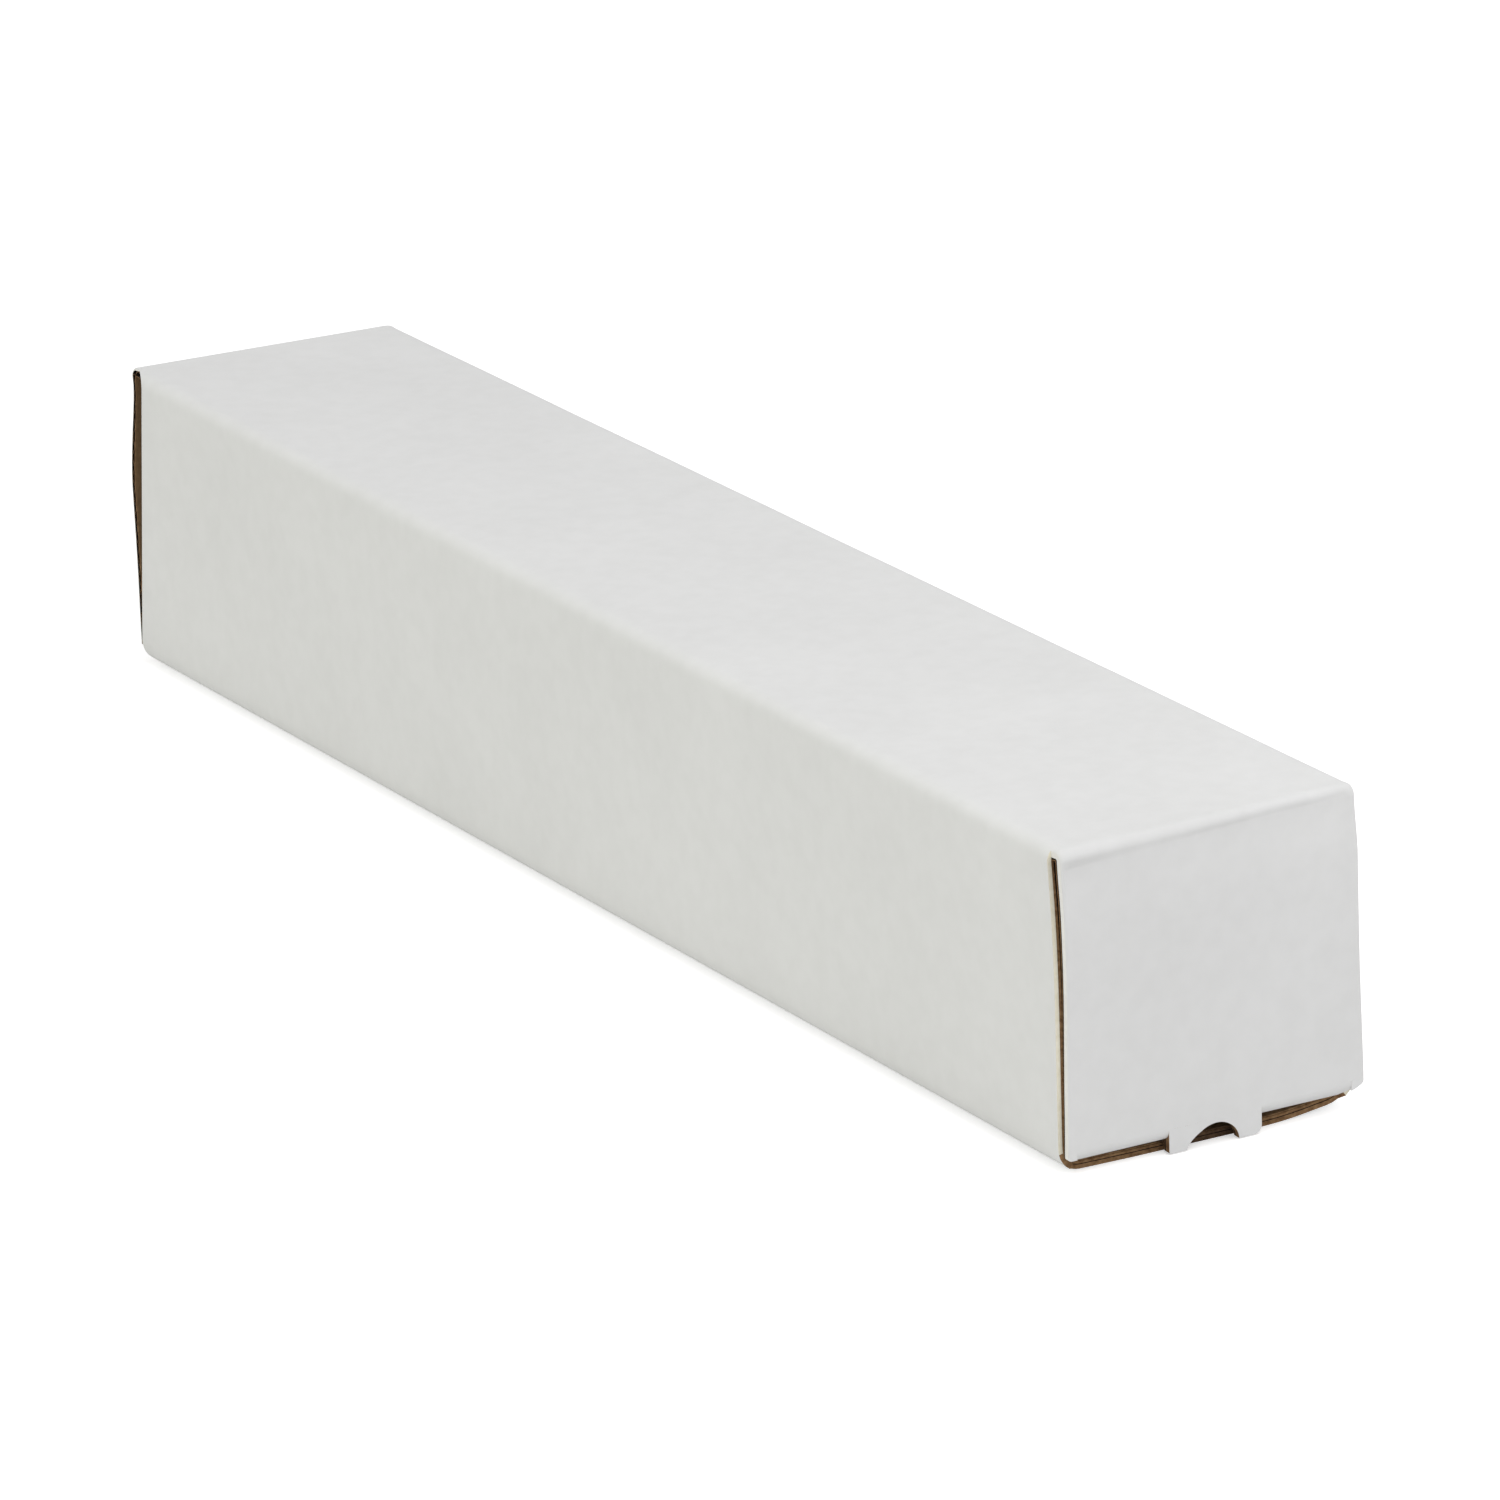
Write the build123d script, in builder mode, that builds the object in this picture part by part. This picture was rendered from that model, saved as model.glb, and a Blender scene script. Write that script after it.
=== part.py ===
from build123d import *
from math import atan, cos, degrees, radians, sin
import os

os.makedirs("parts", exist_ok=True)

# A long, square-section mailing box, die cut and folded from one sheet of white-lined corrugated board.
# X runs along its length, Y across it and Z up. The origin is the middle of the base.
# Lengths are in millimetres and angles in degrees.

# The closed box, outside
box_length = 668.0
box_width = 112.0
box_height = 111.0
board = 3.2
overrun = 1.0

# The long folds, and the bottom panel, which bows down between its folds
fold_radius = 5.0
bottom_bow = 3.0
bottom_flat_share = 0.5
bow_radius = 150.0

# The glued lap inside, which closes the sleeve
lap_width = 32.0
lap_setback = 42.0
lap_slant = 12.0

# The end panel, hung from the top panel
flap_reveal = 1.6
flap_lean = 3.5
end_gap = 0.3
bottom_setback = 2.0
crease_radius = 4.0
crease_kerf = 0.15
score_drop = 4.0
score_radius = 3.0
score_depth = 0.6
foot_gap = 0.7
foot_radius = 2.0

# The tuck, folded in over the bottom panel
tuck_length = 22.0
tuck_fold_radius = 4.2
tuck_lift = 0.5
tuck_tilt = 7.5
tuck_side_gap = 1.5
tuck_taper = 4.0
tuck_corner_radius = 9.0

# The tab with its thumb notch, cut out of the tuck and left in line with the end panel
tab_width = 34.6
tab_slit = 1.5
tab_floor_gap = 0.3
thumb_radius = 8.4
prong_radius = 2.0

# The top end fold: its centre, and where the middle of its outer curve lies, the line about which the flap turns
lean = degrees(atan(flap_lean / (box_height - crease_radius)))
crease_x = box_length / 2 - crease_radius
crease_z = box_height - crease_radius
hinge_angle = (90 - lean) / 2

# Widths across the end, and where the panels that meet it stop
flap_width = box_width - 2 * flap_reveal
inner_width = box_width - 2 * board
tuck_width = inner_width - 2 * tuck_side_gap
side_end = box_length / 2 - flap_lean - board - end_gap
bottom_end = side_end - bottom_setback
bottom_flat = box_width * bottom_flat_share
bottom_cut = inner_width - 2 * (fold_radius - board)

# The end panel's own plane: local X points out of its face and local Y up along it, from the crease's centre
outward = (cos(radians(lean)), 0, -sin(radians(lean)))
panel_side = Plane(origin=(crease_x, 0, crease_z), x_dir=outward, z_dir=(0, -1, 0))
panel_back = crease_radius - board
tuck_centre_x = crease_radius - tuck_fold_radius
tuck_floor = bottom_bow + board + tuck_lift
tuck_centre_z = tuck_floor + tuck_fold_radius
wall_length = (crease_z - tuck_centre_z - tuck_centre_x * sin(radians(lean))) / cos(radians(lean))
tuck_turn = 90 + tuck_tilt - lean
tab_foot = (crease_z - tab_floor_gap - crease_radius * sin(radians(lean))) / cos(radians(lean))
tab_drop = tab_foot - wall_length
roll_angle = hinge_angle + lean - degrees(crease_kerf / crease_radius)
panel_inside = Plane(
    origin=panel_side.from_local_coords((panel_back, -wall_length, 0)), x_dir=(0, 1, 0), z_dir=outward
)

# The tuck's under face, from the end of its bend, and the window that the tab leaves in it
bend_end_x = tuck_centre_x + tuck_fold_radius * cos(radians(tuck_turn))
bend_end_y = -wall_length - tuck_fold_radius * sin(radians(tuck_turn))
tuck_under = Plane(
    origin=panel_side.from_local_coords((bend_end_x, bend_end_y, 0)),
    x_dir=(0, 1, 0),
    z_dir=(sin(radians(tuck_tilt)), 0, cos(radians(tuck_tilt))),
)
window_width = tab_width + 2 * tab_slit
window_depth = tab_drop - radians(tuck_turn) * (tuck_fold_radius - board / 2)
foot_width = (flap_width - tuck_width) / 2 - foot_gap

# The sleeve is made as one half and mirrored: four panels round the section, bent at the long folds
with BuildPart() as sleeve:
    with BuildSketch(Plane.YZ) as section:
        with BuildLine():
            Polyline(
                (-box_width / 2, bottom_bow),
                (-bottom_flat / 2, 0),
                (bottom_flat / 2, 0),
                (box_width / 2, bottom_bow),
                (box_width / 2, box_height),
                (-box_width / 2, box_height),
                close=True,
            )
        make_face()
        fillet(section.vertices().group_by(Axis.Y)[0], bow_radius)
        fillet(section.vertices().group_by(Axis.X)[0] + section.vertices().group_by(Axis.X)[-1], fold_radius)
        offset(amount=-board, mode=Mode.SUBTRACT)
    extrude(amount=side_end)

    # The bottom panel stops short, behind the tab
    with BuildSketch(Plane.XY):
        with Locations((bottom_end, 0)):
            Rectangle(bottom_setback + overrun, bottom_cut, align=(Align.MIN, Align.CENTER))
    extrude(amount=bottom_bow + board + overrun, mode=Mode.SUBTRACT)

    # The top panel runs on past the sides, cut to the end panel's width, and bends over to the hinge line
    with BuildSketch(Plane.XZ):
        with BuildLine():
            roll_out = CenterArc((crease_x, crease_z), crease_radius, hinge_angle, 90 - hinge_angle)
            roll_in = CenterArc((crease_x, crease_z), panel_back, hinge_angle, 90 - hinge_angle)
            Line(roll_out @ 0, roll_in @ 0)
            Polyline(roll_out @ 1, (side_end, box_height), (side_end, box_height - board), roll_in @ 1)
        make_face()
    extrude(amount=flap_width / 2, both=True)

    # The lap, folded up from the bottom panel and glued inside the right-hand side
    with BuildSketch(Plane.XZ.offset(-inner_width / 2)):
        with BuildLine():
            lap_end = side_end - lap_setback
            lap_foot = bottom_bow + board / 2
            lap_top = bottom_bow + board + lap_width
            Polyline((0, lap_foot), (lap_end, lap_foot), (lap_end - lap_slant, lap_top), (0, lap_top), close=True)
        make_face()
    extrude(amount=board)

    mirror(about=Plane.YZ)

sleeve.part.label = "sleeve"
export_step(sleeve.part, "parts/sleeve.step")

# The near end flap: end panel, tuck and tab, folded from one tongue of the sheet
with BuildPart() as near_end_flap:
    # The panel hangs from its half of the top fold, with the score line across it just below
    with BuildSketch(panel_side):
        with BuildLine():
            roll_out = CenterArc((0, 0), crease_radius, 0, roll_angle)
            roll_in = CenterArc((0, 0), panel_back, 0, roll_angle)
            Line(roll_out @ 1, roll_in @ 1)
            Polyline(roll_in @ 0, (panel_back, -wall_length), (crease_radius, -wall_length), roll_out @ 0)
        make_face()
        with Locations((crease_radius + score_radius - score_depth, crease_radius - score_drop)):
            Circle(score_radius, mode=Mode.SUBTRACT)
    extrude(amount=flap_width / 2, both=True)

    # The bend into the tuck, left and right of the tab
    with BuildSketch(panel_side.offset(window_width / 2), panel_side.offset(-tuck_width / 2)):
        with BuildLine():
            bend_out = CenterArc((tuck_centre_x, -wall_length), tuck_fold_radius, 0, -tuck_turn)
            bend_in = CenterArc((tuck_centre_x, -wall_length), tuck_fold_radius - board, 0, -tuck_turn)
            Line(bend_out @ 0, bend_in @ 0)
            Line(bend_out @ 1, bend_in @ 1)
        make_face()
    extrude(amount=(tuck_width - window_width) / 2)

    # The tuck tapers to a rounded tip, and has a window at its root where the tab was cut from it
    with BuildSketch(tuck_under) as tuck_outline:
        with BuildLine():
            Polyline(
                (-tuck_width / 2, 0),
                (tuck_width / 2, 0),
                (tuck_width / 2 - tuck_taper, tuck_length),
                (tuck_taper - tuck_width / 2, tuck_length),
                close=True,
            )
        make_face()
        fillet(tuck_outline.vertices().group_by(Axis.Y)[-1], tuck_corner_radius)
        Rectangle(window_width, window_depth, align=(Align.CENTER, Align.MIN), mode=Mode.SUBTRACT)
    extrude(amount=board)

    # The tab hangs straight down in front of the bottom panel, with a half-round notch for the thumb
    with BuildSketch(panel_inside) as tab_outline:
        with Locations((0, -tab_drop)):
            Rectangle(tab_width, tab_drop, align=(Align.CENTER, Align.MIN))
            Circle(thumb_radius, mode=Mode.SUBTRACT)
        fillet(tab_outline.vertices().group_by(Axis.Y)[0], prong_radius)
    extrude(amount=board)

    # The panel's lower corners run on past the bend, each with its outer edge rounded
    with BuildSketch(panel_inside) as feet:
        with Locations((flap_width / 2, 0)):
            Rectangle(foot_width, tuck_fold_radius, align=(Align.MAX, Align.MAX))
        fillet(feet.vertices().group_by(Axis.Y)[0].sort_by(Axis.X)[-1], foot_radius)
        mirror(about=Plane.YZ)
    extrude(amount=board)

near_end_flap.part.label = "near_end_flap"
export_step(near_end_flap.part, "parts/near_end_flap.step")

# The far end is closed by the same flap, the other way round
with BuildPart() as far_end_flap:
    mirror(near_end_flap.part, about=Plane.YZ)

far_end_flap.part.label = "far_end_flap"
export_step(far_end_flap.part, "parts/far_end_flap.step")
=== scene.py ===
import math

import bpy
import numpy as np
from mathutils import Matrix, Vector, noise


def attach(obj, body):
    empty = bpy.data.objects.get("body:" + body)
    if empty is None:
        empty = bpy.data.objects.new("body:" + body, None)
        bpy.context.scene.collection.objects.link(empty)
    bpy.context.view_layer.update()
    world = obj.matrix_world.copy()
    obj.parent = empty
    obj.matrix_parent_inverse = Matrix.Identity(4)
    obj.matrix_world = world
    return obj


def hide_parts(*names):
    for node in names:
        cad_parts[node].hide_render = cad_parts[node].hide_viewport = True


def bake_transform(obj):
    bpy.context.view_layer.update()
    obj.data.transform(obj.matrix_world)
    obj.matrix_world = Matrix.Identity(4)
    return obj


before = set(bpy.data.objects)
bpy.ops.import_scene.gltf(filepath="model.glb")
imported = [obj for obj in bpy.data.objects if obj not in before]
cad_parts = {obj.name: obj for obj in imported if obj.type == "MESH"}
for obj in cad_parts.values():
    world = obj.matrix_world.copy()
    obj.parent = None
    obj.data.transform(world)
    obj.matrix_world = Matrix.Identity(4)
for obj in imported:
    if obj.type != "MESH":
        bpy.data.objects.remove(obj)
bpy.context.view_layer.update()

# A long mailing box of white-lined corrugated board. Each panel is made as the board is: a white outer liner,
# a fluted medium and a kraft inner liner. Lengths are in millimetres, and become metres when a mesh is made.
MM = 0.001

# The closed box and its board, with the sizes of the CAD source
BOX_LENGTH, BOX_WIDTH, BOX_HEIGHT = 668.0, 112.0, 111.0
BOARD = 3.2

# The layers of the board, as thick as they show at its cut edges, and its flutes
INNER_LINER = 0.35
SLEEVE_LINER, SLEEVE_MEDIUM = 1.5, 0.8
NEAR_LINER, FAR_LINER, FLAP_MEDIUM = 2.2, 0.5, 0.25
FLUTE_PITCH = 7.6

# How finely the meshes are divided
ROWS_PER_FLUTE, LAP_ROWS_PER_FLUTE = 12, 8
FLUTE_STEP = FLUTE_PITCH / ROWS_PER_FLUTE
CREASE_STEP, FOOT_STEP, TAB_STEP = FLUTE_STEP / 2, FLUTE_STEP / 3, FLUTE_STEP / 4
PANEL_STEP, FOLD_MARGIN = 6.0, 2 * FLUTE_STEP
LENGTH_ROWS, FOLD_STEPS = 96, 8
PANEL_COLUMNS, SIDE_COLUMNS, FOOT_COLUMNS = 28, 9, 5
EDGE_STEPS = np.array((0, 0.25, 0.6, 1.0, 1.5, 2.3, 3.6))

# The sleeve's section. Its bottom panel bows down, between folds that are softer than the top ones
FOLD_RADIUS = 5.0
LEFT_FOLD_RADIUS, LEFT_FOLD_RISE = 9.0, 0.4
RIGHT_FOLD_RADIUS, RIGHT_FOLD_RISE = 12.0, 3.4
BOTTOM_BOW, BOTTOM_FLAT, BOW_RADIUS = 3.0, BOX_WIDTH / 2, 150.0
BOTTOM_CUT, BOTTOM_CUT_TOP = BOX_WIDTH / 2 - FOLD_RADIUS, 2 * BOTTOM_BOW

# Where the sleeve's panels end, and how far in from there the flutes are made
FLAP_LEAN, END_GAP, BOTTOM_SETBACK = 3.5, 0.3, 2.0
SIDE_END = BOX_LENGTH / 2 - FLAP_LEAN - BOARD - END_GAP
BOTTOM_END = SIDE_END - BOTTOM_SETBACK
FLUTED_DEPTH = 24.0

# The far left side panel is cut back towards its top, and the near one bows out a little
FAR_CUT, NEAR_BOW, NEAR_BOW_SKEW = 9.8, 1.8, 1.6

# The glued lap inside the right-hand side. Its foot clears the soft fold
LAP_FOOT, LAP_WIDTH, LAP_SETBACK, LAP_SLANT, GLUE = 9.0, 32.0, 42.0, 12.0, 0.15
LAP_TOP = BOTTOM_BOW + BOARD + LAP_WIDTH
LAP_END = SIDE_END - LAP_SETBACK

# The end panel: its crease with the top panel, and its cut side edges
CREASE_RADIUS, CREASE_SPLIT, LIP_DROOP = 4.0, 9.0, 0.7
FLAP_REVEAL = 1.6
FLAP_HALF = BOX_WIDTH / 2 - FLAP_REVEAL
EDGE_CRUSH, EDGE_CRUSH_WIDTH = 0.4, 1.2
FAR_TRIM, FAR_TRIM_REACH, EDGE_BOW, PANEL_SKEW = 2.4, 42.0, 0.7, 1.7

# The score line under the crease: its drop at either end, its form, and how it wanders and varies. Each
# PLACE is where the noise is read
SCORE_LEFT, SCORE_RIGHT, SCORE_UPPER, SCORE_LOWER = 9.9, 5.2, 2.6, 12.0
SCORE_DEPTH, SCORE_LEFT_DEPTH, SCORE_LEFT_REACH = 1.2, 0.8, 26.0
SCORE_WANDER, SCORE_WANDER_LENGTH, SCORE_WANDER_PLACE = 0.5, 28.0, 5.0
SCORE_UNEVEN, SCORE_UNEVEN_LENGTH, SCORE_UNEVEN_PLACE = 0.3, 22.0, 9.0
SCORE_EDGE_LEFT, SCORE_EDGE_RIGHT, FAR_SCORE = 3.0, 4.0, 0.3

# The tuck, folded in over the bottom panel. Its tilt is in degrees
TUCK_RADIUS, TUCK_LIFT, TUCK_TILT = 4.2, 0.5, 7.5
TUCK_LENGTH, TUCK_SIDE_GAP, TUCK_TAPER, TUCK_CORNER = 22.0, 1.5, 4.0, 9.0
TUCK_HALF = BOX_WIDTH / 2 - BOARD - TUCK_SIDE_GAP

# The tab with its thumb notch, the slits beside it, and the feet beside the tuck. The last value on the next
# line is how far to either side the bottom panel's edge behind the notch takes painted shade
TAB_HALF, TAB_FLOOR_GAP, THUMB_RADIUS, NOTCH_SHADE_HALF = 17.3, 0.3, 8.4, 12.0
SLIT, SLIT_TOP, SLIT_ROUND = 2.3, 3.6, 1.6
WINDOW_HALF = TAB_HALF + SLIT
LEFT_PRONG_RADIUS, RIGHT_PRONG_RADIUS = 0.8, 3.0
LEFT_FLARE, RIGHT_FLARE, FLARE_HEIGHT = 2.4, 0.4, 6.5
FOOT_DROP, FOOT_RADIUS = 3.4, 1.0

# The lower edge of the end panel: its right corner is knocked up, and it sags, more so to the left
CORNER_RISE, CORNER_WIDTH, CORNER_REACH = 1.8, 7.5, 14.0
SAG, LEFT_SAG, LEFT_SAG_FROM, LEFT_SAG_SPAN = 1.0, 1.0, 10.0, 25.0

# How far this box has settled out of true: a twist, in degrees, along its length, and uneven panels and folds
TWIST, TWIST_GRIP = 1.6, 20.0
PANEL_WAVE, PANEL_WAVE_LENGTH, FLAP_WAVE_LENGTH = 0.35, 90.0, 45.0
LEFT_FOLD_WAVE, RIGHT_FOLD_WAVE, FOLD_WAVE_LENGTH = 0.35, 0.1, 38.0
FOLD_REACH, FOLD_FADE = 10.0, 7.5
WAVE_FREE_END = 45.0

# The end panel's directions in X and Z, and the centre of its crease. LEAN and TUCK_TURN are in radians
LEAN = math.atan(FLAP_LEAN / (BOX_HEIGHT - CREASE_RADIUS))
CREASE = np.array((BOX_LENGTH / 2 - CREASE_RADIUS, BOX_HEIGHT - CREASE_RADIUS))
OUTWARD = np.array((math.cos(LEAN), -math.sin(LEAN)))
UPWARD = np.array((math.sin(LEAN), math.cos(LEAN)))
TUCK_TURN = math.pi / 2 + math.radians(TUCK_TILT) - LEAN

# The centre of the tuck's bend, out from the crease's centre and up from the floor, and the lengths down the
# end panel that follow from it
TUCK_CENTRE = CREASE_RADIUS - TUCK_RADIUS
TUCK_CENTRE_HEIGHT = BOTTOM_BOW + BOARD + TUCK_LIFT + TUCK_RADIUS
WALL_LENGTH = (CREASE[1] - TUCK_CENTRE_HEIGHT - TUCK_CENTRE * math.sin(LEAN)) / math.cos(LEAN)
TAB_FOOT = (CREASE[1] - TAB_FLOOR_GAP - CREASE_RADIUS * math.sin(LEAN)) / math.cos(LEAN)
TAB_DROP = TAB_FOOT - WALL_LENGTH
WINDOW_DEPTH = TAB_DROP - TUCK_TURN * (TUCK_RADIUS - BOARD / 2)

# Places s along a flap's outer face, from the start of its crease: the lip before it is on the top panel,
# the crease rolls over until ROLL, the panel hangs down to WALL_END, and the tuck bends in and then runs flat
LIP = SIDE_END - CREASE[0]
ROLL = CREASE_RADIUS * (math.pi / 2 + LEAN)
WALL_END = ROLL + WALL_LENGTH
TUCK_START = WALL_END + TUCK_RADIUS * TUCK_TURN
TUCK_TIP = TUCK_START + TUCK_LENGTH

# The order of a piece's materials. The fifth is painted shade, near-black, for the flutes' hidden faces and
# the near flap's medium edges, and the sixth is painted shade on the bottom panel's edge behind the thumb
# notch
WHITE, KRAFT, RAW, CREAM, SHADE, NOTCH_SHADE = range(6)


def wave(x, y, z, length):
    """Smooth noise between about -1 and 1 whose hills are about that length apart."""
    return 2 * noise.noise(Vector((x, y, z)) / length)


def ease(value):
    """A smooth step from 0 to 1 as the value goes from 0 to 1."""
    value = min(max(value, 0.0), 1.0)
    return value * value * (3 - 2 * value)


def spread(first, last, step):
    """Evenly spaced values from first to last, at most about step apart."""
    return np.linspace(first, last, max(2, math.ceil(abs(last - first) / step) + 1))


def twisted(points):
    """The points after the box's twist about its long axis. The base stays flat on the floor."""
    turn = math.radians(TWIST) * points[:, 0] / BOX_LENGTH
    rise = points[:, 2] - BOX_HEIGHT / 2
    grip = np.clip(points[:, 2] / TWIST_GRIP, 0, 1)
    y = points[:, 1] * np.cos(turn) - rise * np.sin(turn)
    z = points[:, 2] + (points[:, 1] * np.sin(turn) + rise * (np.cos(turn) - 1)) * grip
    return np.column_stack((points[:, 0], y, z))


class Builder:
    """Collects the sheets of one piece and makes its mesh."""

    def __init__(self, liner, medium, flute):
        """liner and medium are thicknesses, and flute is the slot of the medium's faces."""
        self.liner, self.medium, self.flute = liner, medium, flute
        self.points, self.faces, self.slots = [], [], []
        self.count = 0

    def grid(self, points, slot, out, wrap=False):
        """Adds a grid of rows and columns of points as faces that look towards out."""
        rows, columns = points.shape[:2]
        index = np.arange(rows * columns).reshape(rows, columns) + self.count
        if wrap:
            index = np.column_stack((index, index[:, :1]))
        quads = np.stack((index[:-1, :-1], index[1:, :-1], index[1:, 1:], index[:-1, 1:]), axis=-1)
        r, c = rows // 2, columns // 2
        corner = points[r - 1, c - 1]
        normal = np.cross(points[r, c - 1] - corner, points[r - 1, c] - corner)
        if normal @ out < 0:
            quads = quads[:, :, ::-1]
        self.points.append(points.reshape(-1, 3))
        self.faces += quads.reshape(-1, 4).tolist()
        self.slots += np.broadcast_to(slot, quads.shape[:2]).ravel().tolist()
        self.count += rows * columns

    def sheet(self, front, back, slots, wrap=False):
        """Adds a closed sheet between two grids. slots are those of its front, its back and its cut edges."""
        r, c = front.shape[0] // 2, front.shape[1] // 2
        out = front[r - 1, c - 1] - back[r - 1, c - 1]
        self.grid(front, slots[0], out, wrap)
        self.grid(back, slots[1], -out, wrap)
        close = (lambda line: np.vstack((line, line[:1]))) if wrap else (lambda line: line)
        for edge, inside in ((0, 1), (-1, -2)):
            side = np.stack((close(front[edge]), close(back[edge])), axis=1)
            self.grid(side, slots[2], front[edge, c] - front[inside, c])
            if not wrap:
                side = np.stack((front[:, edge], back[:, edge]), axis=1)
                self.grid(side, slots[2], front[r, edge] - front[r, inside])

    def board(self, outer, inner, phase=None, wrap=False, liners=True, edges=(CREAM, RAW, RAW)):
        """Adds corrugated board between two grids: its liners, and the medium where a flute phase is given.
        edges are the slots of the cut edges of the outer liner, the inner liner and the medium."""
        through = (inner - outer) / BOARD
        if liners:
            # The liners' hidden backs take painted shade, near-black
            self.sheet(outer, outer + through * self.liner, (WHITE, SHADE, edges[0]), wrap)
            self.sheet(inner, inner - through * INNER_LINER, (KRAFT, SHADE, edges[1]), wrap)
        if phase is not None:
            swing = (BOARD - self.liner - INNER_LINER - self.medium) / 2
            depth = (self.liner + swing * (1 + np.sin(phase)))[..., None]
            back = outer + through * (depth + self.medium)
            self.sheet(outer + through * depth, back, (self.flute, self.flute, edges[2]), wrap)

    def make(self, name, materials, mirror=False):
        """Makes the piece's object, mirrored to the far end if asked."""
        points, faces = np.vstack(self.points), self.faces
        if mirror:
            points = points * (-1, 1, 1)
            faces = [face[::-1] for face in faces]
        mesh = bpy.data.meshes.new(name)
        mesh.from_pydata((twisted(points) * MM).tolist(), [], faces)
        for material in materials:
            mesh.materials.append(material)
        mesh.polygons.foreach_set("material_index", self.slots)
        mesh.polygons.foreach_set("use_smooth", [True] * len(faces))
        mesh.update()
        piece = bpy.data.objects.new(name, mesh)
        bpy.context.collection.objects.link(piece)
        return piece


# Materials. Noise is given as its scale, per metre, and its detail, and tones as (position, colour) stops
PAPER_GLOSS = 0.25
WHITE_ROUGHNESS, LINER_ROUGHNESS, LINED_EDGE_ROUGHNESS, RAW_ROUGHNESS = 0.62, 0.85, 0.9, 0.95
WHITE_CLOUDS, WHITE_SPECKS, WHITE_FIBRES = (16, 2), (150, 2), (900, 4)
WHITE_TONES = ((0.3, (0.752, 0.752, 0.75)), (0.7, (0.778, 0.778, 0.777)))
SPECK_TONES, SPECK_SHARE = ((0.3, (0.968, 0.968, 0.966)), (0.65, (1, 1, 1))), 0.8
KRAFT_FIBRES, KRAFT_CLOUDS, KRAFT_STRETCH = (260, 5), (30, 3), (0.35, 2, 2)
FIBRE_DARK_STOP, FIBRE_LIGHT_STOP = 0.32, 0.68
PATCH_TONES = ((0.3, (0.86, 0.85, 0.83)), (0.7, (1, 1, 1)))
RIB_BUMP, CLOUD_BUMP, WHITE_FIBRE_BUMP, KRAFT_FIBRE_BUMP = 0.008, 0.2, 0.008, 0.12
RIB_DISTORTION, RIB_DETAIL_SCALE = 0.6, 0.4

# At a scale of 1, the bands of a wave texture are this far apart
BAND_SPACING = math.pi / 10


def shade(name, roughness, gloss=PAPER_GLOSS):
    """A new material, its node tree and its surface shader."""
    material = bpy.data.materials.new(name)
    material.use_nodes = True
    tree = material.node_tree
    surface = tree.nodes["Principled BSDF"]
    surface.inputs["Roughness"].default_value = roughness
    surface.inputs["Specular IOR Level"].default_value = gloss
    return material, tree, surface


def mottle(tree, place, scale, detail, stretch=(1, 1, 1)):
    """Noise of a given scale over the object's own coordinates, in metres."""
    spot = tree.nodes.new("ShaderNodeMapping")
    spot.inputs["Scale"].default_value = stretch
    texture = tree.nodes.new("ShaderNodeTexNoise")
    texture.inputs["Scale"].default_value = scale
    texture.inputs["Detail"].default_value = detail
    tree.links.new(place.outputs["Object"], spot.inputs["Vector"])
    tree.links.new(spot.outputs["Vector"], texture.inputs["Vector"])
    return texture.outputs["Fac"]


def ramp(tree, value, stops):
    """A colour ramp over a value, from (position, colour) stops."""
    node = tree.nodes.new("ShaderNodeValToRGB")
    for element, (position, colour) in zip(node.color_ramp.elements, stops):
        element.position = position
        element.color = (*colour, 1)
    tree.links.new(value, node.inputs["Fac"])
    return node.outputs["Color"]


def mixed(tree, kind, share, first, second):
    """Two colours mixed."""
    node = tree.nodes.new("ShaderNodeMix")
    node.data_type = "RGBA"
    node.blend_type = kind
    node.inputs["Factor"].default_value = share
    tree.links.new(first, node.inputs["A"])
    tree.links.new(second, node.inputs["B"])
    return node.outputs["Result"]


def bumped(tree, surface, heights):
    """Bumps the surface with (height, depth) pairs, one after the other."""
    normal = None
    for height, depth in heights:
        node = tree.nodes.new("ShaderNodeBump")
        node.inputs["Distance"].default_value = depth * MM
        tree.links.new(height, node.inputs["Height"])
        if normal is not None:
            tree.links.new(normal, node.inputs["Normal"])
        normal = node.outputs["Normal"]
    tree.links.new(normal, surface.inputs["Normal"])


def white_paper(name, rib_axis):
    """The white outer liner: clay-white paper, faintly mottled, with the flutes just showing as ribs."""
    material, tree, surface = shade(name, WHITE_ROUGHNESS)
    place = tree.nodes.new("ShaderNodeTexCoord")
    clouds = mottle(tree, place, *WHITE_CLOUDS)
    specks = mottle(tree, place, *WHITE_SPECKS)
    tone = ramp(tree, clouds, WHITE_TONES)
    grain = ramp(tree, specks, SPECK_TONES)
    tree.links.new(mixed(tree, "MULTIPLY", SPECK_SHARE, tone, grain), surface.inputs["Base Color"])
    ribs = tree.nodes.new("ShaderNodeTexWave")
    ribs.wave_type = "BANDS"
    ribs.bands_direction = rib_axis
    ribs.inputs["Scale"].default_value = BAND_SPACING / (FLUTE_PITCH * MM)
    ribs.inputs["Distortion"].default_value = RIB_DISTORTION
    ribs.inputs["Detail Scale"].default_value = RIB_DETAIL_SCALE
    tree.links.new(place.outputs["Object"], ribs.inputs["Vector"])
    fibres = mottle(tree, place, *WHITE_FIBRES)
    heights = ((ribs.outputs["Fac"], RIB_BUMP), (clouds, CLOUD_BUMP), (fibres, WHITE_FIBRE_BUMP))
    bumped(tree, surface, heights)
    return material


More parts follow.
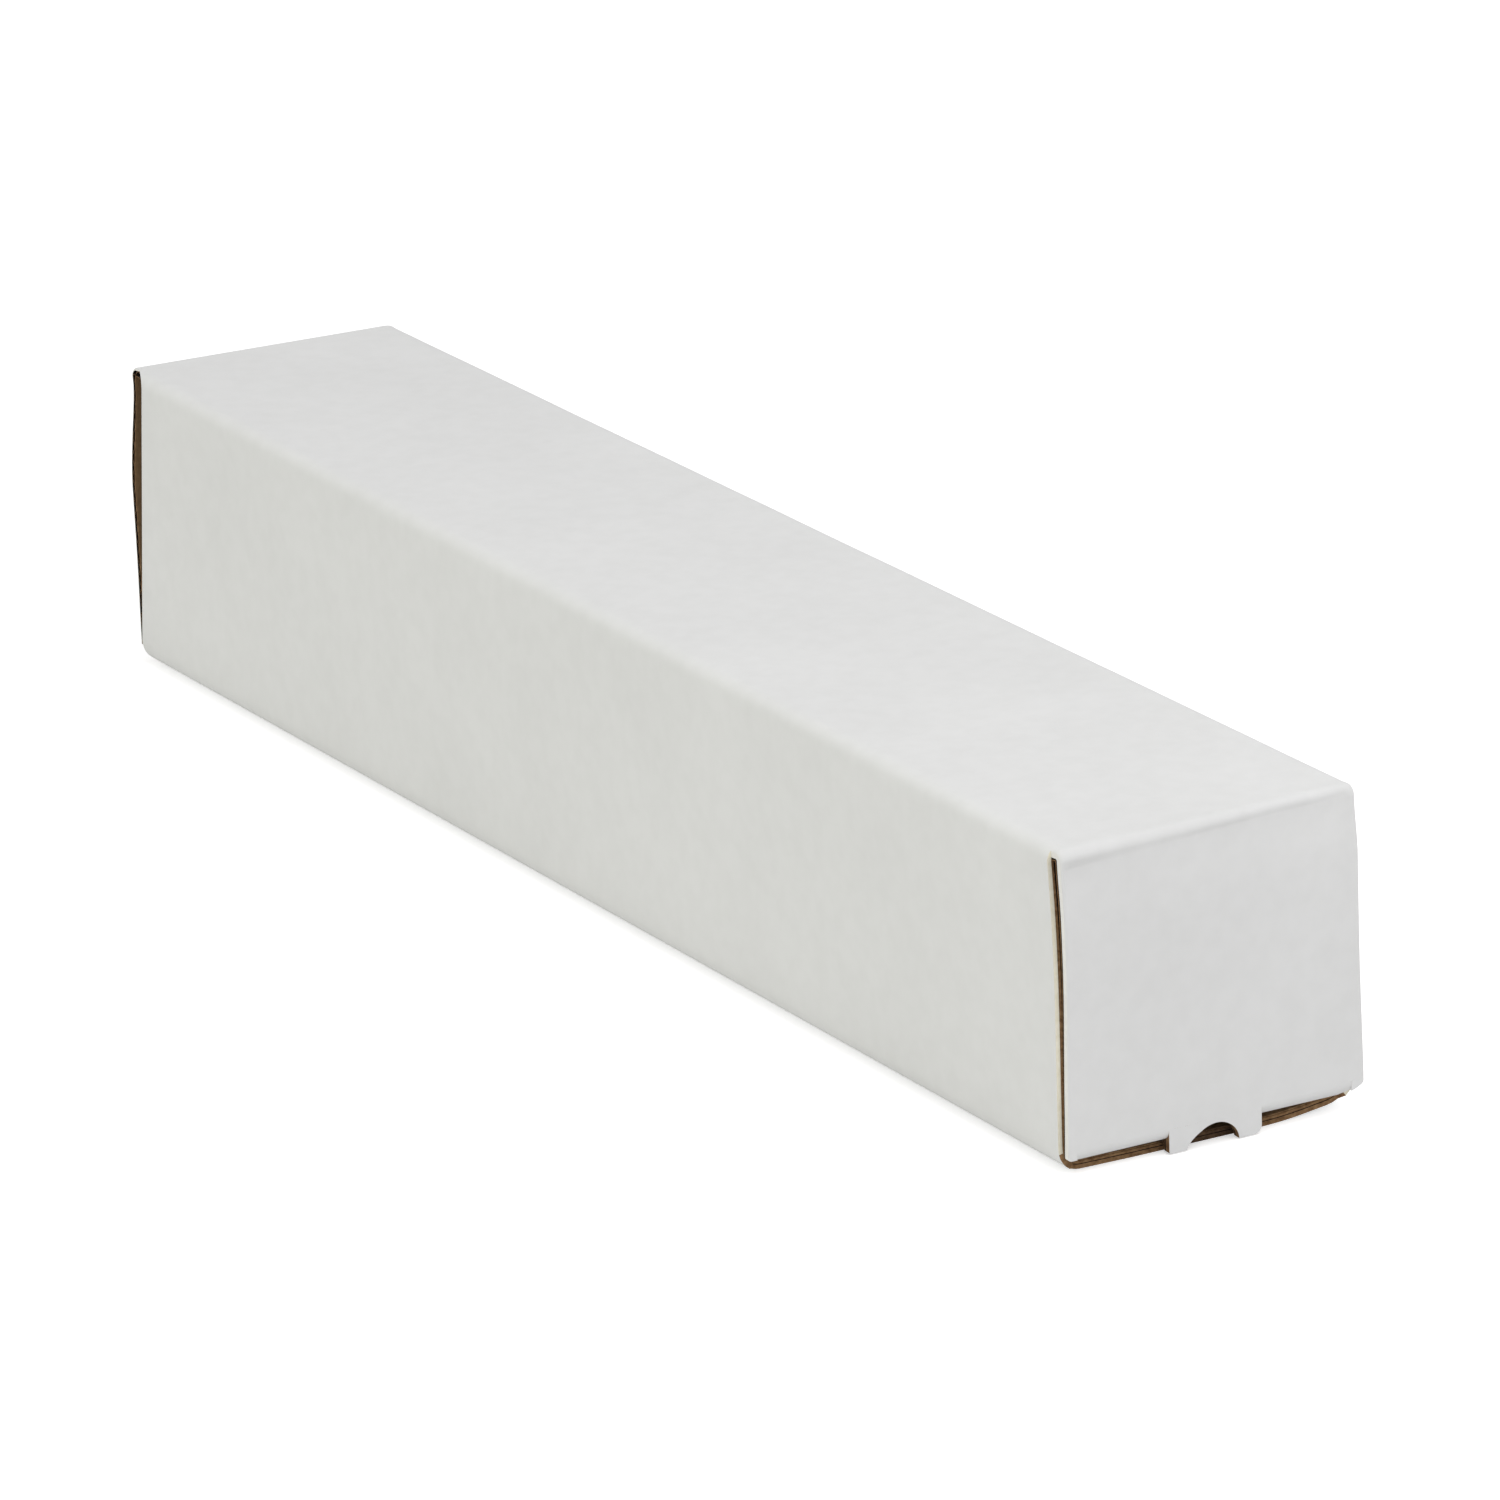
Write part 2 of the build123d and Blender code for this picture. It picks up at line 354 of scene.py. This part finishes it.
def kraft_paper(name, dark, light, roughness):
    """Fibrous paper, brown or lined, between a dark and a light tone, with fibres that run along X."""
    material, tree, surface = shade(name, roughness)
    place = tree.nodes.new("ShaderNodeTexCoord")
    fibres = mottle(tree, place, *KRAFT_FIBRES, KRAFT_STRETCH)
    clouds = mottle(tree, place, *KRAFT_CLOUDS)
    tone = ramp(tree, fibres, ((FIBRE_DARK_STOP, dark), (FIBRE_LIGHT_STOP, light)))
    patch = ramp(tree, clouds, PATCH_TONES)
    tree.links.new(mixed(tree, "MULTIPLY", 1, tone, patch), surface.inputs["Base Color"])
    bumped(tree, surface, ((fibres, KRAFT_FIBRE_BUMP),))
    return material


kraft_liner = kraft_paper("kraft_liner", (0.265, 0.162, 0.082), (0.33, 0.207, 0.108), LINER_ROUGHNESS)
raw_edge = kraft_paper("raw_edge", (0.17, 0.09, 0.04), (0.38, 0.23, 0.115), RAW_ROUGHNESS)
# Painted shade: the bottom panel's edge behind the thumb notch is painted near-black
notch_shade_edge = kraft_paper("notch_shade_edge", (0.07, 0.04, 0.022), (0.15, 0.09, 0.05), RAW_ROUGHNESS)
cream_edge = kraft_paper("cream_edge", (0.88, 0.83, 0.66), (0.95, 0.91, 0.78), LINED_EDGE_ROUGHNESS)
# Painted highlight: the flaps' cut liner edges are painted lighter than their white face, for the light their
# cut fibres catch
white_edge_highlight = kraft_paper("white_edge_highlight", (0.86, 0.85, 0.83), (0.92, 0.92, 0.91), LINED_EDGE_ROUGHNESS)
# Painted shade: near-black for the flutes and the board's hidden faces
flute_shade = kraft_paper("flute_shade", (0.018, 0.011, 0.008), (0.035, 0.022, 0.014), RAW_ROUGHNESS)
sleeve_white = white_paper("sleeve_white", "X")
flap_white = white_paper("flap_white", "Z")
sleeve_materials = (sleeve_white, kraft_liner, raw_edge, cream_edge, flute_shade, notch_shade_edge)
flap_materials = (flap_white, kraft_liner, raw_edge, white_edge_highlight, flute_shade)


# The sleeve

def rounded_outline(corners):
    """Points and outward normals round a closed, anticlockwise outline of (y, z, radius) corners."""
    arcs = []
    for i, (y, z, radius) in enumerate(corners):
        here = np.array((y, z))
        back, on = (np.array(corners[j % len(corners)][:2]) - here for j in (i - 1, i + 1))
        back, on = back / np.linalg.norm(back), on / np.linalg.norm(on)
        half = math.acos(back @ on) / 2
        bisector = (back + on) / np.linalg.norm(back + on)
        centre = here + bisector * radius / math.sin(half)
        start = math.atan2(*(here + back * radius / math.tan(half) - centre)[::-1])
        turns = start + np.linspace(0, math.pi - 2 * half, FOLD_STEPS + 1)
        normals = np.column_stack((np.cos(turns), np.sin(turns)))
        arcs.append((centre + radius * normals, normals))
    points, normals = [], []
    for i, (arc, turned) in enumerate(arcs):
        following = arcs[(i + 1) % len(arcs)][0][0]
        run = np.linalg.norm(following - arc[-1])
        inner = list(spread(0, 1, PANEL_STEP / run)[1:-1])
        margins = [FOLD_MARGIN / run, 1 - FOLD_MARGIN / run]
        shares = np.array(sorted(inner + margins))[:, None]
        points += [arc, arc[-1] + shares * (following - arc[-1])]
        normals += [turned, np.repeat(turned[-1:], len(shares), axis=0)]
    return np.vstack(points), np.vstack(normals)


def at_bottom(y, z):
    """Whether a place in the section is on the bottom panel, which is cut shorter than the sides."""
    return z < BOTTOM_CUT_TOP and abs(y) < BOTTOM_CUT


def panel_end(y, z, far):
    """Where along X the sleeve's board is cut, at a place in its section."""
    if at_bottom(y, z):
        return BOTTOM_END
    if far and y < FAR_TRIM - FLAP_HALF:
        round_fold = (FAR_TRIM - FLAP_HALF - y) / (BOX_WIDTH / 2 + FAR_TRIM - FLAP_HALF)
        return SIDE_END - FAR_CUT * round_fold * z / BOX_HEIGHT
    if y < 0 and not far:
        return SIDE_END + NEAR_BOW * math.sin(math.pi * (z / BOX_HEIGHT) ** NEAR_BOW_SKEW)
    return SIDE_END


def sleeve_relief(x, y, z):
    """How far the board of the sleeve stands out of true at a place. The bottom panel lies as it is."""
    lift = ease((z - BOTTOM_BOW) / TWIST_GRIP) * ease((SIDE_END - abs(x)) / WAVE_FREE_END)
    corner = math.hypot(BOX_WIDTH / 2 - abs(y), BOX_HEIGHT - z)
    fold = ease((FOLD_REACH - corner) / FOLD_FADE)
    swell = PANEL_WAVE * wave(x, y, z, PANEL_WAVE_LENGTH)
    dent = (LEFT_FOLD_WAVE if y < 0 else RIGHT_FOLD_WAVE) * (1 + wave(x, y, 0, FOLD_WAVE_LENGTH)) / 2
    return lift * (swell * (1 - fold) - dent * fold)


def edge_slot(y, z):
    """The slot of the sleeve's raw edge at a place in its section. Behind the thumb notch it takes painted
    shade, near-black.
    """
    return NOTCH_SHADE if z < BOTTOM_BOW and abs(y) < NOTCH_SHADE_HALF else RAW


section, section_normals = rounded_outline((
    (-BOX_WIDTH / 2, LEFT_FOLD_RISE, LEFT_FOLD_RADIUS),
    (-BOTTOM_FLAT / 2, 0, BOW_RADIUS),
    (BOTTOM_FLAT / 2, 0, BOW_RADIUS),
    (BOX_WIDTH / 2, RIGHT_FOLD_RISE, RIGHT_FOLD_RADIUS),
    (BOX_WIDTH / 2, BOX_HEIGHT, FOLD_RADIUS),
    (-BOX_WIDTH / 2, BOX_HEIGHT, FOLD_RADIUS),
))
near_ends = np.array([panel_end(y, z, False) for y, z in section])
far_ends = -np.array([panel_end(y, z, True) for y, z in section])


def sleeve_grids(lengths):
    """Outer and inner faces of the sleeve at rows of places along X, one for each point of the section."""
    outer, inner = np.zeros((*lengths.shape, 3)), np.zeros((*lengths.shape, 3))
    for r, row in enumerate(lengths):
        for c, x in enumerate(row):
            out = sleeve_relief(x, *section[c])
            outer[r, c] = (x, *(section[c] + out * section_normals[c]))
            inner[r, c] = (x, *(section[c] + (out - BOARD) * section_normals[c]))
    return outer, inner


def lap_grids():
    """Outer and inner faces of the lap, whose ends slant, and its flute phase."""
    heights = spread(LAP_FOOT, LAP_TOP, PANEL_STEP)
    ends = LAP_END - LAP_SLANT * (heights - LAP_FOOT) / (LAP_TOP - LAP_FOOT)
    lengths = spread(-1, 1, FLUTE_PITCH / LAP_ROWS_PER_FLUTE / LAP_END)[:, None] * ends
    outer = np.zeros((*lengths.shape, 3))
    for r, row in enumerate(lengths):
        for c, x in enumerate(row):
            z = heights[c]
            outer[r, c] = (x, BOX_WIDTH / 2 - BOARD + sleeve_relief(x, BOX_WIDTH / 2, z) - GLUE, z)
    return outer, outer - (0, BOARD, 0), 2 * math.pi * lengths / FLUTE_PITCH


def add_sleeve():
    """Makes the sleeve: its liners from end to end, the flutes near both ends, and the lap."""
    raw = np.array([[edge_slot(y, z)] for y, z in section])
    bottom = np.array([[z < LEFT_FOLD_RADIUS and y < BOTTOM_CUT] for y, z in section])
    edges = (np.where(bottom, raw, CREAM), raw, raw)
    sleeve = Builder(SLEEVE_LINER, SLEEVE_MEDIUM, RAW)
    shares = np.linspace(0, 1, LENGTH_ROWS)[:, None]
    sleeve.board(*sleeve_grids(far_ends + shares * (near_ends - far_ends)), wrap=True, edges=edges)
    depths = spread(0, FLUTED_DEPTH, FLUTE_STEP)[:, None]
    for ends, inward in ((near_ends, -1), (far_ends, 1)):
        lengths = ends + inward * depths
        phase = 2 * math.pi * (abs(lengths) - SIDE_END) / FLUTE_PITCH - math.pi / 2
        sleeve.board(*sleeve_grids(lengths), phase, wrap=True, liners=False, edges=edges)
    sleeve.board(*lap_grids())
    sleeve_piece = sleeve.make("sleeve_board", sleeve_materials)
    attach(sleeve_piece, "sleeve")
    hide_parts("sleeve")


# The end flaps

def flap_curve(s, straight=False):
    """Point and outward normal, in X and Z, of a flap's outer face at a place s along it."""
    if s < 0:
        return np.array((CREASE[0] + s, BOX_HEIGHT)), np.array((0.0, 1.0))
    if s < ROLL:
        turn = s / CREASE_RADIUS
        normal = np.array((math.sin(turn), math.cos(turn)))
        return CREASE + CREASE_RADIUS * normal, normal
    if s < WALL_END or straight:
        return CREASE + CREASE_RADIUS * OUTWARD - (s - ROLL) * UPWARD, OUTWARD
    turn = min((s - WALL_END) / TUCK_RADIUS, TUCK_TURN)
    normal = OUTWARD * math.cos(turn) - UPWARD * math.sin(turn)
    along = -OUTWARD * math.sin(turn) - UPWARD * math.cos(turn)
    centre = CREASE + TUCK_CENTRE * OUTWARD - WALL_LENGTH * UPWARD
    return centre + TUCK_RADIUS * normal + max(0, s - TUCK_START) * along, normal


def board_relief(s, y):
    """How far the flap's board stands out of true: its corners start from the long folds, and it waves."""
    side = max(0, min(abs(y), FLAP_HALF) - (BOX_WIDTH / 2 - FOLD_RADIUS))
    droop = FOLD_RADIUS - math.sqrt(FOLD_RADIUS**2 - side**2)
    panel = ease((s - ROLL) / TWIST_GRIP) * ease((WALL_END - s) / TWIST_GRIP)
    settle = 1 - (1 - LIP_DROOP) * ease(1 - s / LIP) - LIP_DROOP * ease((s - ROLL) / TWIST_GRIP)
    return PANEL_WAVE * panel * wave(s, y, 0, FLAP_WAVE_LENGTH) - droop * settle


def face_relief(s, y, far):
    """How far the score line under the crease has pressed the outer face in."""
    left, right = FLAP_HALF + y, FLAP_HALF - y
    score = (SCORE_LEFT * right + SCORE_RIGHT * left) / (2 * FLAP_HALF)
    score += SCORE_WANDER * wave(0, y, SCORE_WANDER_PLACE, SCORE_WANDER_LENGTH)
    depth = SCORE_DEPTH + SCORE_LEFT_DEPTH * ease(1 - left / SCORE_LEFT_REACH)
    depth *= 1 + SCORE_UNEVEN * wave(0, y, SCORE_UNEVEN_PLACE, SCORE_UNEVEN_LENGTH)
    fade = ease(left / SCORE_EDGE_LEFT) * ease(right / SCORE_EDGE_RIGHT) * (FAR_SCORE if far else 1)
    return -fade * depth * math.exp(-(((s - score) / (SCORE_UPPER if s < score else SCORE_LOWER)) ** 2))


def panel_edges(s, far):
    """Where the end panel's left and right edges lie. The right one slants out. The near left one bows in,
    and the far left one is trimmed towards the crease."""
    along = min(max((s - ROLL) / WALL_LENGTH, 0), 1)
    near_trim = EDGE_BOW * math.sin(math.pi * along)
    far_trim = FAR_TRIM * (1 - ease((s - ROLL) / FAR_TRIM_REACH))
    return (far_trim if far else near_trim) - FLAP_HALF, FLAP_HALF + PANEL_SKEW * along


def edge_crush(s, y, far):
    """How far the die has rolled the outer face over along the panel's cut side edges."""
    left, right = panel_edges(s, far)
    share = min(max(1 - min(y - left, right - y) / EDGE_CRUSH_WIDTH, 0), 1)
    return EDGE_CRUSH * (1 - math.sqrt(1 - share**2)) * ease(1 - s / LIP)


def edge_rise(s, y, straight):
    """How far the panel's lower edge is pushed up, at its right corner, or sags."""
    corner = CORNER_RISE * max(0, (y - FLAP_HALF) / CORNER_WIDTH + 1) ** 2
    sag = SAG + LEFT_SAG * ease((LEFT_SAG_FROM - y) / LEFT_SAG_SPAN)
    hang = 1 - ease((s - WALL_END) / TAB_DROP if straight else (s - TUCK_START) / TUCK_LENGTH)
    return (corner - sag * hang) * ease((s - WALL_END) / CORNER_REACH + 1)


def flap_grids(rows, columns, far, straight=False):
    """Outer and inner faces of a flap at rows along its path, and its flute phase. columns gives the places
    in Y for a row. A straight part stays in the end panel's plane."""
    outer, inner, phase = [], [], []
    for s in rows:
        (x, z), (nx, nz) = flap_curve(s, straight)
        across = columns(s)
        rise = np.array([edge_rise(s, y, straight) for y in across])
        place = np.column_stack((x + rise * UPWARD[0], across, z + rise * UPWARD[1]))
        out = np.array([board_relief(s, y) for y in across])[:, None]
        press = np.array([face_relief(s, y, far) - edge_crush(s, y, far) for y in across])[:, None]
        normal = np.array((nx, 0, nz))
        outer.append(place + (out + press) * normal)
        inner.append(place + (out - BOARD) * normal)
        phase.append(np.full(len(across), 2 * math.pi * s / FLUTE_PITCH))
    return np.array(outer), np.array(inner), np.array(phase)


def panel_side(s, far):
    """The places across the end panel, close together near its cut edges."""
    left, right = panel_edges(s, far)
    middle = np.linspace(left + EDGE_STEPS[-1], right - EDGE_STEPS[-1], PANEL_COLUMNS)[1:-1]
    return np.concatenate((left + EDGE_STEPS, middle, right - EDGE_STEPS[::-1]))


def rounding(radius, into):
    """How far a rounded corner has drawn its edge in, at a depth into the corner."""
    return radius - math.sqrt(max(0, radius**2 - max(0, into) ** 2))


def tuck_side(s, side):
    """The places across one half of the tuck, from the slit beside the tab to its tapered outer edge."""
    slit = TAB_HALF + SLIT * ease((s - WALL_END - SLIT_TOP) / SLIT_ROUND)
    past = max(0, s - TUCK_START)
    corner = rounding(TUCK_CORNER, past - TUCK_LENGTH + TUCK_CORNER)
    return side * np.linspace(slit, TUCK_HALF - TUCK_TAPER * past / TUCK_LENGTH - corner, SIDE_COLUMNS)


def tab_side(s, side):
    """The places across one half of the tab, from the thumb notch to its outer edge."""
    up = TAB_DROP - (s - WALL_END)
    flare = (LEFT_FLARE if side < 0 else RIGHT_FLARE) * max(0, 1 - up / FLARE_HEIGHT)
    notch = math.sqrt(max(0, THUMB_RADIUS**2 - up**2)) + flare
    radius = LEFT_PRONG_RADIUS if side < 0 else RIGHT_PRONG_RADIUS
    return side * np.linspace(notch, TAB_HALF - rounding(radius, radius - up), SIDE_COLUMNS)


def foot_side(s, side):
    """The places across one foot, whose outer corner is rounded."""
    corner = rounding(FOOT_RADIUS, s - WALL_END - FOOT_DROP + FOOT_RADIUS)
    return side * np.linspace(TUCK_HALF, FLAP_HALF + (PANEL_SKEW if side > 0 else 0) - corner, FOOT_COLUMNS)


crease_rows = spread(LIP, ROLL + CREASE_SPLIT, CREASE_STEP)
wall_rows = spread(ROLL + CREASE_SPLIT, WALL_END, FLUTE_STEP)
tuck_rows = spread(WALL_END, TUCK_TIP, FLUTE_STEP)
window_rows = spread(TUCK_START + WINDOW_DEPTH, TUCK_TIP, FLUTE_STEP)
tab_rows = spread(WALL_END, WALL_END + TAB_DROP, TAB_STEP)
foot_rows = spread(WALL_END, WALL_END + FOOT_DROP, FOOT_STEP)
window_side = spread(-WINDOW_HALF, WINDOW_HALF, PANEL_STEP)


def add_flap(end, far):
    """Makes one end's crease, baked in place, and its flap, attached to the flap's body."""
    body = f"{end}_end_flap"
    board = (FAR_LINER if far else NEAR_LINER, FLAP_MEDIUM, SHADE)
    # The near flap's medium edges take painted shade, near-black, and the far flap's the raw tone
    edges = (CREAM, RAW, RAW if far else SHADE)
    tab_edges = (RAW, *edges[1:])
    crease = Builder(*board)
    crease.board(*flap_grids(crease_rows, lambda s: panel_side(s, far), far), edges=edges)
    piece = crease.make(f"{end}_crease_board", flap_materials, far)
    if far:
        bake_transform(piece)
    else:
        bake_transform(piece)

    flap = Builder(*board)
    flap.board(*flap_grids(wall_rows, lambda s: panel_side(s, far), far), edges=edges)
    flap.board(*flap_grids(window_rows, lambda s: window_side, far), edges=edges)
    for side in (-1, 1):
        flap.board(*flap_grids(tuck_rows, lambda s: tuck_side(s, side), far), edges=edges)
        flap.board(*flap_grids(tab_rows, lambda s: tab_side(s, side), far, straight=True), edges=tab_edges)
        flap.board(*flap_grids(foot_rows, lambda s: foot_side(s, side), far, straight=True), edges=edges)
    piece = flap.make(f"{end}_flap_board", flap_materials, far)
    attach(piece, body)
    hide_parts(body)


add_sleeve()
add_flap("near", far=False)
add_flap("far", far=True)


# The surround, the floor and the lamps, in metres. Lamp power is in watts
MIDDLE = Vector((0, 0, BOX_HEIGHT * MM / 2))
NEUTRAL, YELLOW_GREEN = (1.0, 1.0, 1.0), (0.98, 1.0, 0.78)
WORLD_LIGHT = 0.64
FLOOR_SIZE, FLOOR_GLOW, FLOOR_COLOUR = 12.0, 0.55, (0.8, 0.8, 0.8)
LAMP_SIZE = 1.2


def seen_directly(tree):
    """1 for what the camera sees itself or in a gloss, and 0 for the light that falls on things."""
    path = tree.nodes.new("ShaderNodeLightPath")
    seen = tree.nodes.new("ShaderNodeMath")
    seen.operation = "MAXIMUM"
    tree.links.new(path.outputs["Is Camera Ray"], seen.inputs[0])
    tree.links.new(path.outputs["Is Glossy Ray"], seen.inputs[1])
    return seen.outputs["Value"]


def add_world():
    """A surround that looks white, and lights the box more dimly than that."""
    world = bpy.data.worlds.new("studio")
    world.use_nodes = True
    bpy.context.scene.world = world
    tree = world.node_tree
    light = tree.nodes["Background"]
    light.inputs["Color"].default_value = (*NEUTRAL, 1)
    light.inputs["Strength"].default_value = WORLD_LIGHT
    white = tree.nodes.new("ShaderNodeBackground")
    white.inputs["Color"].default_value = (*NEUTRAL, 1)
    white.inputs["Strength"].default_value = 1.0
    choice = tree.nodes.new("ShaderNodeMixShader")
    tree.links.new(seen_directly(tree), choice.inputs[0])
    tree.links.new(light.outputs[0], choice.inputs[1])
    tree.links.new(white.outputs[0], choice.inputs[2])
    tree.links.new(choice.outputs[0], tree.nodes["World Output"].inputs["Surface"])


def add_floor():
    """A matte floor that is white to the camera, and pale where the box shades it."""
    mesh = bpy.data.meshes.new("floor")
    reach = FLOOR_SIZE / 2
    corners = [(-reach, -reach, 0), (reach, -reach, 0), (reach, reach, 0), (-reach, reach, 0)]
    mesh.from_pydata(corners, [], [(0, 1, 2, 3)])
    floor = bpy.data.objects.new("floor", mesh)
    bpy.context.collection.objects.link(floor)
    material, tree, matte = shade("floor", roughness=1.0, gloss=0.0)
    mesh.materials.append(material)
    matte.inputs["Base Color"].default_value = (*FLOOR_COLOUR, 1)
    glow = tree.nodes.new("ShaderNodeEmission")
    strength = tree.nodes.new("ShaderNodeMath")
    strength.operation = "MULTIPLY"
    strength.inputs[1].default_value = FLOOR_GLOW
    tree.links.new(seen_directly(tree), strength.inputs[0])
    tree.links.new(strength.outputs[0], glow.inputs["Strength"])
    both = tree.nodes.new("ShaderNodeAddShader")
    tree.links.new(matte.outputs[0], both.inputs[0])
    tree.links.new(glow.outputs[0], both.inputs[1])
    tree.links.new(both.outputs[0], tree.nodes["Material Output"].inputs["Surface"])


def add_lamp(name, place, power, colour=NEUTRAL):
    """A large soft lamp that faces the middle of the box."""
    data = bpy.data.lights.new(name, "AREA")
    data.size = LAMP_SIZE
    data.energy = power
    data.color = colour
    lamp = bpy.data.objects.new(name, data)
    bpy.context.collection.objects.link(lamp)
    lamp.location = place
    lamp.rotation_euler = (MIDDLE - lamp.location).to_track_quat("-Z", "Y").to_euler()


add_world()
add_floor()
add_lamp("key", place=(1.5, 0.1, 1.6), power=9.6)
add_lamp("top", place=(0.6, 0.2, 2.0), power=6.6)
add_lamp("fill", place=(-0.2, -2.2, 0.3), power=10.4, colour=YELLOW_GREEN)

# The camera stands where the photograph was taken from. Its lens and sensor are in millimetres
CAMERA_AZIMUTH, CAMERA_ELEVATION = math.radians(61.3219), math.radians(18.1642)
CAMERA_ROLL = math.radians(-2.1556)
CAMERA_DISTANCE, CAMERA_RIGHT, CAMERA_UP, CAMERA_REACH = 3.5514, 0.0163, -0.01138, 100.0
CAMERA_LENS, CAMERA_SENSOR = 248.418, 36.0
back = Vector((
    math.sin(CAMERA_AZIMUTH) * math.cos(CAMERA_ELEVATION),
    -math.cos(CAMERA_AZIMUTH) * math.cos(CAMERA_ELEVATION),
    math.sin(CAMERA_ELEVATION),
))
level = Vector((math.cos(CAMERA_AZIMUTH), math.sin(CAMERA_AZIMUTH), 0))
upright = back.cross(level)
right = math.cos(CAMERA_ROLL) * level + math.sin(CAMERA_ROLL) * upright
up = math.cos(CAMERA_ROLL) * upright - math.sin(CAMERA_ROLL) * level
stand = MIDDLE + back * CAMERA_DISTANCE + right * CAMERA_RIGHT + up * CAMERA_UP
camera_data = bpy.data.cameras.new("camera")
camera_data.lens = CAMERA_LENS
camera_data.sensor_width = CAMERA_SENSOR
camera_data.clip_end = CAMERA_REACH
camera = bpy.data.objects.new("camera", camera_data)
bpy.context.collection.objects.link(camera)
camera.matrix_world = Matrix.Translation(stand) @ Matrix((right, up, back)).transposed().to_4x4()
bpy.context.scene.camera = camera
bpy.context.scene.view_settings.view_transform = "Standard"
